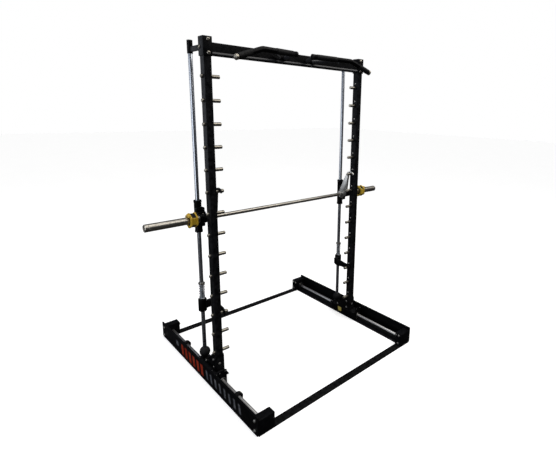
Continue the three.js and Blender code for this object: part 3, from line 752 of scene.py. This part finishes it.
def pull_up_handle(side_name, side):
    def place(point):
        return Vector((side * point.x, point.y, point.z))

    inner, bend, tip = place(HANDLE_INNER), place(HANDLE_BEND), place(HANDLE_TIP)
    tube = swept(bent_path(inner, bend, tip), HANDLE_RADIUS, 32)
    legs, feet = [], []
    for along, foot_x in HANDLE_LEGS:
        top = inner.lerp(bend, along)
        foot_at = Vector((side * foot_x, UPRIGHT_Y, HANDLE_FOOT_Z))
        reach = (top.y - BEAM_FRONT) / (top.y - foot_at.y)
        end = top.lerp(foot_at, reach)
        legs.append(swept([top, end], HANDLE_LEG_RADIUS, 28))
        feet.append(end)
    centre = (feet[0] + feet[1]) / 2
    x_span, z_span = [(c - half, c + half) for c, half in zip((centre.x, centre.z), HANDLE_PLATE_HALF)]
    face = BEAM_FRONT - HANDLE_PLATE_THICKNESS
    plate = prism(rounded_box_outline(x_span, z_span, 6 * MM), "y", (face, BEAM_FRONT))
    piece(f"pull_up_bar_{side_name}", [softened(tube, 1 * MM), softened(plate, 0.8 * MM)],
          BLACK, "carriage", [f"pull_up_handle_{side_name}"])
    # The legs take the same lighter grey: a painted highlight on black-coated legs.
    piece(f"pull_up_legs_{side_name}", legs, BLACK, "carriage", material=PAINTED_HIGHLIGHT_GREY)
    piece(f"pull_up_inner_cap_{side_name}", [handle_cap(inner, inner - bend)], RUBBER, "carriage")
    piece(f"pull_up_outer_cap_{side_name}", [handle_cap(tip, tip - bend)], ZINC, "carriage")
    grips = [ribbed_grip(inner, bend, 0.12, 0.62), ribbed_grip(bend, tip, 0.42, 0.9)]
    piece(f"pull_up_grips_{side_name}", grips, RUBBER, "carriage")
    bolts = []
    for offset in (-1, 1):
        at = (centre.x + offset * 30 * MM, face, centre.z - offset * 8 * MM)
        bolts += hex_bolt(at, (0, -1, 0), 4 * MM)
    piece(f"pull_up_foot_bolts_{side_name}", bolts, BLACK, "carriage")


HOLDER_ARM_Z = (2265 * MM, 2297 * MM)
HOLDER_SCREW_Z = 2281 * MM


def guide_rod(side_name, side):
    node = f"guide_rod_{side_name}"
    low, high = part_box(node)
    x = side * ROD.x
    bar = softened(rod((x, ROD.y, low.z), (x, ROD.y, high.z), ROD_RADIUS, 64), 1 * MM)
    piece(f"lift_rod_{side_name}", [bar], "rod_chrome", "carriage", [node])
    holder_node = f"rod_top_holder_{side_name}"
    low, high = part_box(holder_node)
    radius = high.y - ROD.y
    body = softened(rod((x, ROD.y, low.z), (x, ROD.y, high.z), radius, 48), 2 * MM, 3)
    arm_low, arm_high = HOLDER_ARM_Z
    arm = block((x - 8 * MM, low.y, arm_low), (x + 8 * MM, ROD.y, arm_high))
    piece(f"rod_holder_{side_name}", [body, softened(arm, 2 * MM, 3)], BLACK, "carriage", [holder_node])
    screws = dome_bolt((x, ROD.y + radius - 0.3 * MM, HOLDER_SCREW_Z), (0, 1, 0), 6 * MM)
    piece(f"rod_holder_screw_{side_name}", screws, ZINC, "carriage")


def rod_bumper(side_name, side):
    """A rubber ball on a short neck, with a flat ring under it."""
    node = f"rod_bumper_{side_name}"
    low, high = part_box(node)
    radius = half_width(node, "x")
    bore = ROD_RADIUS + 0.2 * MM
    neck = 16 * MM
    foot_radius = neck + 4 * MM
    centre_z = high.z - math.sqrt(radius ** 2 - bore ** 2)
    lowest = math.asin(neck / radius)
    highest = math.pi - math.asin(bore / radius)
    profile = [(low.z, bore), (low.z, foot_radius), (low.z + 4 * MM, foot_radius), (low.z + 6 * MM, neck)]
    steps = 18
    for step in range(steps + 1):
        angle = lowest + (highest - lowest) * step / steps
        profile.append((centre_z - radius * math.cos(angle), radius * math.sin(angle)))
    ball = turned(profile, (side * ROD.x, ROD.y, 0), (0, 0, 1), 48, closed=True)
    piece(f"bumper_ball_{side_name}", [ball], RUBBER, "carriage", [node])


def yellow_patch():
    """A blank yellow sticker on the inner side of the right bearing housing."""
    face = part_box("shaft_bearing_right")[0].x
    outline = rounded_box_outline((0, 44 * MM), (21 * MM, 62 * MM), 4 * MM)
    film = prism(outline, "x", (face, face - 0.3 * MM))
    piece("blank_sticker", [film], YELLOW, "carriage", material=YELLOW_FILM)


def build_carriage():
    for side_name, side in SIDES:
        bearing(side_name, side)
        foot(side_name, side)
        upright(side_name, side)
        top_cap(side_name, side)
        pull_up_handle(side_name, side)
        guide_rod(side_name, side)
        rod_bumper(side_name, side)
    top_beam()
    yellow_patch()


# ---------- bar lift ----------

def slider(side_name, side):
    """A tube with a thicker ring at each end, on a bolted pad."""
    node = f"slider_housing_{side_name}"
    low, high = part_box(node)
    radius = high.y - ROD.y
    waist = radius - 1.8 * MM
    bore = ROD_RADIUS + RUNNING_GAP
    height = high.z - low.z
    lip, taper = 14 * MM, 2 * MM
    profile = [(0, bore), (0, radius), (lip, radius), (lip + taper, waist), (height - lip - taper, waist),
               (height - lip, radius), (height, radius), (height, bore)]
    tube = turned(profile, (side * ROD.x, ROD.y, low.z), (0, 0, 1), 56, closed=True)
    tube = softened(tube, 1 * MM)
    pad_low = Vector((662 * MM * side, low.y, BAR.z - 67 * MM))
    pad_high = Vector((722 * MM * side, ROD.y - radius + 10 * MM, BAR.z + 67 * MM))
    outline = rounded_box_outline((pad_low.x, pad_high.x), (pad_low.z, pad_high.z), 8 * MM)
    pad = softened(prism(outline, "y", (pad_low.y, pad_high.y)), 1.5 * MM)
    piece(f"slider_{side_name}", [tube, pad], BLACK, "bar_lift", [node])
    bolts = []
    for x in (673, 711):
        for z in (-54, 54):
            bolts += hex_bolt((side * x * MM, pad_low.y, BAR.z + z * MM), (0, -1, 0), 6 * MM)
    piece(f"slider_bolts_{side_name}", bolts, BLACK, "bar_lift")


def bar_block(side_name, side):
    node = f"bar_bearing_{side_name}"
    low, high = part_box(node)
    bore = BAR_RADIUS + RUNNING_GAP
    round_radius = BAR.y - low.y
    span = inner_outer(node, side)
    length = abs(span[1] - span[0])
    housing = softened(ring_on_bar(span[0], side, length, bore, round_radius, 56), 2 * MM, 3)
    gap = round_radius * 0.55
    back = softened(block((span[0], BAR.y + gap, low.z), (span[1], high.y, high.z)), 2 * MM, 3)
    piece(f"bar_housing_{side_name}", [housing, back], BLACK, "bar_lift", [node])
    faces = [softened(ring_on_bar(x, way, 2 * MM, bore, 21 * MM), 0.6 * MM)
             for x, way in zip(span, (-side, side))]
    piece(f"bar_housing_rings_{side_name}", faces, ZINC, "bar_lift")
    screw = dome_bolt(((span[0] + span[1]) / 2, BAR.y, BAR.z + round_radius - 0.5 * MM), (0, 0, 1), 6 * MM)
    piece(f"bar_housing_screw_{side_name}", screw, ZINC, "bar_lift")


# ---------- bar ----------

KNURLED_ZONES = ((0.16, 0.52), (-0.52, -0.16), (-0.055, 0.055))


def lifting_bar():
    low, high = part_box("bar_shaft")
    shaft = rod((low.x, BAR.y, BAR.z), (high.x, BAR.y, BAR.z), BAR_RADIUS, 64)
    piece("lifting_bar", [shaft], "bar_chrome", "bar", ["bar_shaft"])
    zones = []
    sunk, proud, ramp = BAR_RADIUS - 0.2 * MM, BAR_RADIUS + 0.3 * MM, 0.6 * MM
    for start, end in KNURLED_ZONES:
        profile = [(0, sunk), (ramp, proud), (end - start - ramp, proud), (end - start, sunk)]
        zones.append(turned(profile, (start, BAR.y, BAR.z), (1, 0, 0), 64))
    piece("bar_knurling", zones, "bar_chrome", "bar", material=KNURLED)


def sleeve(side_name, side):
    """The sleeve, with a groove near its end and a dished end face."""
    node = f"weight_sleeve_{side_name}"
    start, end = inner_outer(node, side)
    radius = half_width(node, "z")
    length = abs(end - start)
    groove, chamfer = 0.8 * MM, 2.5 * MM
    profile = [(0, 0), (0, radius - 1 * MM), (1 * MM, radius), (length - 26 * MM, radius)]
    profile += [(length - 25 * MM, radius - groove), (length - 23 * MM, radius - groove)]
    profile += [(length - 22 * MM, radius), (length - chamfer, radius), (length, radius - chamfer)]
    profile += [(length, radius - 6 * MM), (length - 2 * MM, radius - 7 * MM), (length - 2 * MM, 6 * MM)]
    profile += [(length - 5 * MM, 5 * MM), (length - 5 * MM, 0)]
    tube = turned(profile, (start, BAR.y, BAR.z), (side, 0, 0), 64)
    piece(f"plate_sleeve_{side_name}", [tube], "bar_chrome", "bar", [node])


def hook_outline():
    """The racking hook in the YZ plane: a tapered arm that curls over the peg."""
    peg = Vector((UPRIGHT_Y, peg_height(BAR_PEG)))
    axis = Vector((BAR.y, BAR.z))
    to_peg = peg - axis
    peg_angle = math.atan2(to_peg.y, to_peg.x)
    curl = 0.16    # radians that the tip reaches past the peg
    tip_angle = peg_angle + curl
    over = PEG_MOUTH + 10.5 * MM
    inner_radius = to_peg.length + PEG_MOUTH
    tip_radius = inner_radius + 9 * MM
    tip = axis + tip_radius * Vector((math.cos(tip_angle), math.sin(tip_angle)))
    shoulder = peg + Vector((28, 15)) * MM
    top = peg + Vector((0, over))
    points = [axis + Vector((-15, -36)) * MM, axis + Vector((31, -24)) * MM, axis + Vector((31, 12)) * MM,
              peg + Vector((46, -12)) * MM, shoulder]
    points += curve(shoulder, peg + Vector((18 * MM, over)), top, 8)[1:]
    points += curve(top, Vector(((peg.x + tip.x) / 2 - over / 2, peg.y + over)), tip, 8)[1:]
    points += arc(axis, inner_radius, tip_angle, peg_angle, 6)
    points += arc(peg, PEG_MOUTH, peg_angle, 0, 14)[1:]
    points += [peg + Vector((PEG_MOUTH + 2 * MM, -24 * MM))]
    points += [axis + Vector((-75, 48)) * MM, axis + Vector((-62, 1)) * MM]
    return [tuple(point) for point in points]


def racking_hook(side_name, side):
    """The hook plate on its hub. The left one is black and the right one plated."""
    node = f"racking_hook_{side_name}"
    span = inner_outer(node, side)
    slot, steel = (ZINC, HOOK_STEEL) if side > 0 else (BLACK, None)
    plate = softened(prism(hook_outline(), "x", span), 1.3 * MM)
    hub_radius = 24 * MM
    hub = softened(ring_on_bar(span[0] - side * 14 * MM, side, 40 * MM, BAR_RADIUS, hub_radius), 1.5 * MM)
    piece(f"rack_hook_{side_name}", [plate, hub], slot, "bar", [node], steel)
    screw_x, seat = span[0] - side * 7 * MM, hub_radius - 0.5 * MM
    screws = dome_bolt((screw_x, BAR.y, BAR.z + seat), (0, 0, 1), 4 * MM)
    screws += dome_bolt((screw_x, BAR.y - seat, BAR.z), (0, -1, 0), 4 * MM)
    piece(f"rack_hook_screws_{side_name}", screws, ZINC, "bar")


# ---------- barbell collars ----------

def hexagonal(origin, axis, length, bore, corner_radius, sides=72):
    """A hexagonal ring with a round bore; a corner points up.

    The outside starts as a circle far from the bore, and is then drawn in to the hexagon.
    """
    far = 1.0
    profile = [(0, bore), (0, far), (length, far), (length, bore)]
    bm = turned(profile, origin, axis, sides, closed=True, start=(0, 0, 1))
    flat = corner_radius * math.cos(math.pi / 6)
    blunt = corner_radius * 0.97
    origin = Vector(origin)
    axis = Vector(axis).normalized()
    for vert in bm.verts:
        along = (vert.co - origin).dot(axis)
        centre = origin + axis * along
        arm = vert.co - centre
        if arm.length < far / 2:
            continue
        angle = math.atan2(arm.y, arm.z) % (math.pi / 3)
        radius = min(flat / math.cos(angle - math.pi / 6), blunt)
        vert.co = centre + arm.normalized() * radius
    return bm


def lock_collar(side_name, side):
    """A hexagonal collar: two flared end rings, a slimmer waist, and rubber pads on every other flat."""
    node = f"lock_collar_{side_name}"
    start, end = inner_outer(node, side)
    length = abs(end - start)
    corner = half_width(node, "z")
    bore = 25.4 * MM
    rim = 10 * MM
    waist = corner - 5 * MM
    parts = []
    steps = ((0, rim, corner), (rim, length - 2 * rim, waist), (length - rim, rim, corner))
    for from_start, thickness, radius in steps:
        origin = (start + side * from_start, BAR.y, BAR.z)
        parts.append(softened(hexagonal(origin, (side, 0, 0), thickness, bore, radius), 1.4 * MM, 3))
    piece(f"hex_collar_{side_name}", parts, YELLOW, node, [node])
    flat = waist * math.cos(math.pi / 6)
    inset = side * (rim + 0.5 * MM)
    pad_half = 22 * MM
    pads = []
    for degrees in (30, 150, 270):
        turn = Matrix.Rotation(math.radians(degrees), 4, "X")
        pad = block((start + inset, -pad_half, flat - 3 * MM), (end - inset, pad_half, flat + 1.5 * MM))
        pad = softened(pad, 1.5 * MM)
        bmesh.ops.transform(pad, matrix=Matrix.Translation((0, BAR.y, BAR.z)) @ turn, verts=pad.verts)
        pads.append(pad)
    piece(f"hex_collar_pads_{side_name}", pads, RUBBER, node)
    bushes = [softened(ring_on_bar(x, way, 2 * MM, bore, 33 * MM), 0.6 * MM)
              for x, way in ((start + side * 1.5 * MM, -side), (end - side * 1 * MM, side))]
    piece(f"hex_collar_bushes_{side_name}", bushes, RUBBER, node)
    latch_piece(side_name, side)


def latch_piece(side_name, side):
    """The collar's lever: round at its pivot, square at its tip."""
    node = f"collar_latch_{side_name}"
    low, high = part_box(node)
    half = half_width(node, "z")
    pivot = Vector((0, high.y - half, (low.z + high.z) / 2))
    tip = low.y
    outline = rounded_outline([(pivot.y + half, low.z, half), (pivot.y + half, high.z, half),
                               (tip, high.z, 5 * MM), (tip, low.z, 5 * MM)], 8)
    lever = softened(prism(outline, "x", (low.x, high.x)), 1.2 * MM)
    piece(f"collar_lever_{side_name}", [lever], YELLOW, node, [node])
    outer = inner_outer(node, side)[1]
    pin = dome_bolt((outer - side * 0.3 * MM, pivot.y, pivot.z), (side, 0, 0), 4.5 * MM)
    piece(f"collar_lever_pin_{side_name}", pin, ZINC, node)


# ---------- safety stops ----------

STOP_TUBE_RADIUS = 19 * MM


def stop_sleeve(side_name, side):
    """A tube with a flange at each end, between which the hook arm turns."""
    node = f"stop_sleeve_{side_name}"
    low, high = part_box(node)
    bore = ROD_RADIUS + RUNNING_GAP
    height = high.z - low.z
    flange = 4 * MM
    wide = half_width(node, "x")
    profile = [(0, bore), (0, wide), (flange, wide), (flange, STOP_TUBE_RADIUS),
               (height - flange, STOP_TUBE_RADIUS), (height - flange, wide), (height, wide), (height, bore)]
    body = softened(turned(profile, (side * ROD.x, ROD.y, low.z), (0, 0, 1), 48, closed=True), 0.8 * MM)
    piece(f"stop_tube_{side_name}", [body], RUBBER, f"stop_slide_{side_name}", [node])


def stop_spring(side_name, side):
    """A coil of wire, with its end turns lying nearly flat."""
    node = f"buffer_spring_{side_name}"
    low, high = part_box(node)
    wire = 2.6 * MM
    coil_radius = half_width(node, "x") - wire
    turns = 7
    count = turns * 20
    flat_share, slow_rise = 0.8 / turns, 0.03
    height = high.z - low.z - 2 * wire
    path = []
    for step in range(count + 1):
        t = step / count
        rise = min(max((t - flat_share) / (1 - 2 * flat_share), 0), 1)
        angle = 2 * math.pi * turns * t
        path.append((side * ROD.x + coil_radius * math.cos(angle), ROD.y + coil_radius * math.sin(angle),
                     low.z + wire + height * (slow_rise * t + (1 - slow_rise) * rise)))
    coil = swept(path, wire, 10)
    spring = piece(f"coil_spring_{side_name}", [coil], "spring_steel", f"stop_slide_{side_name}", [node])
    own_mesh(spring)


def stop_cap(side_name, side):
    """A plated washer on top of the spring."""
    node = f"spring_cap_{side_name}"
    low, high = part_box(node)
    washer = ring_on_rod(side, low.z, high.z - low.z, ROD_RADIUS + RUNNING_GAP, half_width(node, "x"))
    piece(f"stop_washer_{side_name}", [softened(washer, 1.2 * MM)], ZINC, node, [node])


STOP_LUG_Y = (44 * MM, 72 * MM)
STOP_LUG_Z = (508 * MM, 562 * MM)
STOP_ARM_NECK = (29 * MM, 498 * MM)


def stop_arm_outline():
    """The arm in the YZ plane: from the lug forwards, over the peg and down its front."""
    peg = Vector((UPRIGHT_Y, peg_height(STOP_PEG)))
    crown = [peg + Vector(offset) * MM for offset in ((20, 34), (-26, 34), (-26, 0))]
    points = [Vector((STOP_LUG_Y[1], STOP_LUG_Z[0])), Vector((STOP_LUG_Y[1], STOP_LUG_Z[1])),
              Vector((STOP_ARM_NECK[0], STOP_LUG_Z[1]))]
    points += curve(*crown, 10)
    points += [peg + Vector((-24, -28)) * MM, peg + Vector((-PEG_MOUTH - 3 * MM, -28 * MM))]
    points += arc(peg, PEG_MOUTH, math.pi, 0, 14)
    points += [peg + Vector((PEG_MOUTH + 3 * MM, -22 * MM)), peg + Vector((44, -10)) * MM]
    points += [Vector(STOP_ARM_NECK)]
    return [tuple(point) for point in points]


def stop_arm(side_name, side):
    node = f"stop_arm_{side_name}"
    low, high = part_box(node)
    bore = STOP_TUBE_RADIUS + RUNNING_GAP
    hub_radius = 30 * MM
    plate_x = (side * 622 * MM, side * 634 * MM)
    hub = ring_on_rod(side, low.z, high.z - low.z, bore, hub_radius, 56)
    lug_low = (plate_x[0], STOP_LUG_Y[0], STOP_LUG_Z[0])
    lug_high = (side * (ROD.x - 12 * MM), STOP_LUG_Y[1], STOP_LUG_Z[1])
    lug = softened(block(lug_low, lug_high), 2 * MM, 3)
    plate = softened(prism(stop_arm_outline(), "x", plate_x), 1.3 * MM)
    parts = [softened(hub, 2 * MM, 3), lug, plate]
    piece(f"stop_hook_{side_name}", parts, BLACK, node, [node])
    bolts = []
    lug_middle = (STOP_LUG_Y[0] + STOP_LUG_Y[1]) / 2
    for z in (STOP_LUG_Z[0] + 14 * MM, STOP_LUG_Z[1] - 14 * MM):
        bolts += hex_bolt((plate_x[0], lug_middle, z), (-side, 0, 0), 5 * MM)
    at = (side * ROD.x, ROD.y + hub_radius - 0.4 * MM, (low.z + high.z) / 2)
    bolts += hex_bolt(at, (0, 1, 0), 6 * MM)
    piece(f"stop_hook_bolts_{side_name}", bolts, BLACK, node)


def build_moving_parts():
    lifting_bar()
    for side_name, side in SIDES:
        slider(side_name, side)
        bar_block(side_name, side)
        sleeve(side_name, side)
        racking_hook(side_name, side)
        lock_collar(side_name, side)
        stop_sleeve(side_name, side)
        stop_spring(side_name, side)
        stop_cap(side_name, side)
        stop_arm(side_name, side)


# ---------- stage ----------

def build_floor():
    """A wide pale sheet, just under the rails."""
    mesh = bpy.data.meshes.new("floor")
    bm = bmesh.new()
    bmesh.ops.create_grid(bm, x_segments=1, y_segments=1, size=30)
    bmesh.ops.translate(bm, vec=(0, 0, -0.5 * MM), verts=bm.verts)
    bm.to_mesh(mesh)
    bm.free()
    mesh.materials.append(floor_paint())
    floor = bpy.data.objects.new("floor", mesh)
    bpy.context.scene.collection.objects.link(floor)


def add_light(name, kind, place, target, power, colour):
    data = bpy.data.lights.new(name, kind)
    data.energy = power
    data.color = colour
    light = bpy.data.objects.new(name, data)
    light.location = place
    direction = Vector(target) - Vector(place)
    light.rotation_euler = direction.to_track_quat("-Z", "Y").to_euler()
    light.visible_camera = False
    bpy.context.scene.collection.objects.link(light)
    return data


def softbox(name, place, target, size, power, colour):
    data = add_light(name, "AREA", place, target, power, colour)
    data.shape = "RECTANGLE"
    data.size, data.size_y = size


def build_world():
    """White behind the machine, and a dim cool room in its reflections."""
    world = bpy.data.worlds.new("studio")
    world.use_nodes = True
    tree = world.node_tree
    light_path = tree.nodes.new("ShaderNodeLightPath")
    mix = tree.nodes.new("ShaderNodeMix")
    mix.data_type = "RGBA"
    mix.inputs["A"].default_value = (0.050, 0.054, 0.066, 1.0)
    mix.inputs["B"].default_value = (1.0, 1.0, 1.0, 1.0)
    tree.links.new(light_path.outputs["Is Camera Ray"], mix.inputs["Factor"])
    tree.links.new(mix.outputs["Result"], tree.nodes["Background"].inputs["Color"])
    bpy.context.scene.world = world


def build_lights():
    build_world()
    overhead = add_light("overhead", "SUN", (0, 0, 6), (0.3, 0.4, 0), 1.3, (1.0, 0.99, 0.96))
    overhead.angle = math.radians(50)
    softbox("left_softbox", (-4.8, -0.9, 1.8), (0, 0, 1.3), (2.8, 4.6), 75, (0.90, 0.94, 1.0))
    softbox("left_rear_softbox", (-3.4, 4.4, 2.2), (0, 0, 1.3), (3.0, 3.6), 42, (0.88, 0.92, 1.0))
    softbox("top_right_softbox", (2.1, -2.2, 4.7), (0, 0, 0.9), (4.2, 3.0), 90, (1.0, 0.97, 0.92))


def build_camera():
    """The photograph's viewpoint: in front, to the left, higher than the bar and looking down a little."""
    place = (-1.860, -2.452, 1.924)
    yaw, pitch, roll = 0.7590, -0.2163, 0.0228
    ahead = Vector((math.sin(yaw) * math.cos(pitch), math.cos(yaw) * math.cos(pitch), math.sin(pitch)))
    level_right = Vector((math.cos(yaw), -math.sin(yaw), 0))
    level_up = level_right.cross(ahead)
    right = level_right * math.cos(roll) + level_up * math.sin(roll)
    up = level_up * math.cos(roll) - level_right * math.sin(roll)
    data = bpy.data.cameras.new("camera")
    data.sensor_width = 36
    data.lens = 25.63
    data.shift_x = -0.0912
    data.shift_y = -0.0570
    camera = bpy.data.objects.new("camera", data)
    turn = Matrix((right, up, -ahead)).transposed().to_4x4()
    camera.matrix_world = Matrix.Translation(place) @ turn
    bpy.context.scene.collection.objects.link(camera)
    bpy.context.scene.camera = camera


build_camera()
build_base()
build_carriage()
build_moving_parts()
build_floor()
build_lights()
bpy.context.scene.view_settings.view_transform = "Standard"
